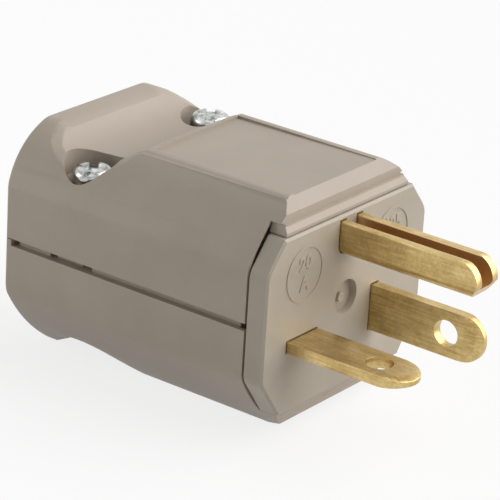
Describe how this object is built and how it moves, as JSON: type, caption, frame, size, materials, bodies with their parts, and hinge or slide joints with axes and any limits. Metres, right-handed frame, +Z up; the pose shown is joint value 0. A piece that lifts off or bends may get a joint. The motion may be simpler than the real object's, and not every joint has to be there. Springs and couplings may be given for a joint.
{
  "type": "straight blade plug",
  "caption": "Straight blade power plug: split moulded housing with a scooped back, sunk screws and a cord grip, a front insulator and brass blades.",
  "frame": {"origin": "centre of the mating face, on the axis of the housing, where the two shells' joint plane meets it", "axes": "+Y from the face to the cord end, so the blades point to -Y; +Z up, on the ground blade's side; +X on the line blade's side"},
  "size_m": [0.0342, 0.0637, 0.032],
  "materials": {
    "shell": "grey-beige nylon, satin, fine moulded texture",
    "insulator": "grey-beige nylon, smooth satin",
    "blade_brass": "rolled brass with fine lengthwise drawing marks",
    "plated_steel": "zinc plated, bright",
    "clamp_plate": "plated, dull",
    "line_screw": "plain brass",
    "neutral_screw": "nickel plated",
    "ground_screw": "green dip"
  },
  "bodies": {
    "root": {"upper_shell": "shell", "lower_shell": "shell", "blade_carrier": "insulator", "blade_retainer": "insulator", "line_blade": "blade_brass", "neutral_blade": "blade_brass", "ground_blade": "blade_brass", "line_terminal_screw": "line_screw", "neutral_terminal_screw": "neutral_screw", "ground_terminal_screw": "ground_screw", "line_wire_clamp": "clamp_plate", "neutral_wire_clamp": "clamp_plate", "ground_wire_clamp": "clamp_plate", "shell_screw_left": "plated_steel", "shell_screw_right": "plated_steel", "shell_nut_left": "plated_steel", "shell_nut_right": "plated_steel"}
  },
  "joints": []
}
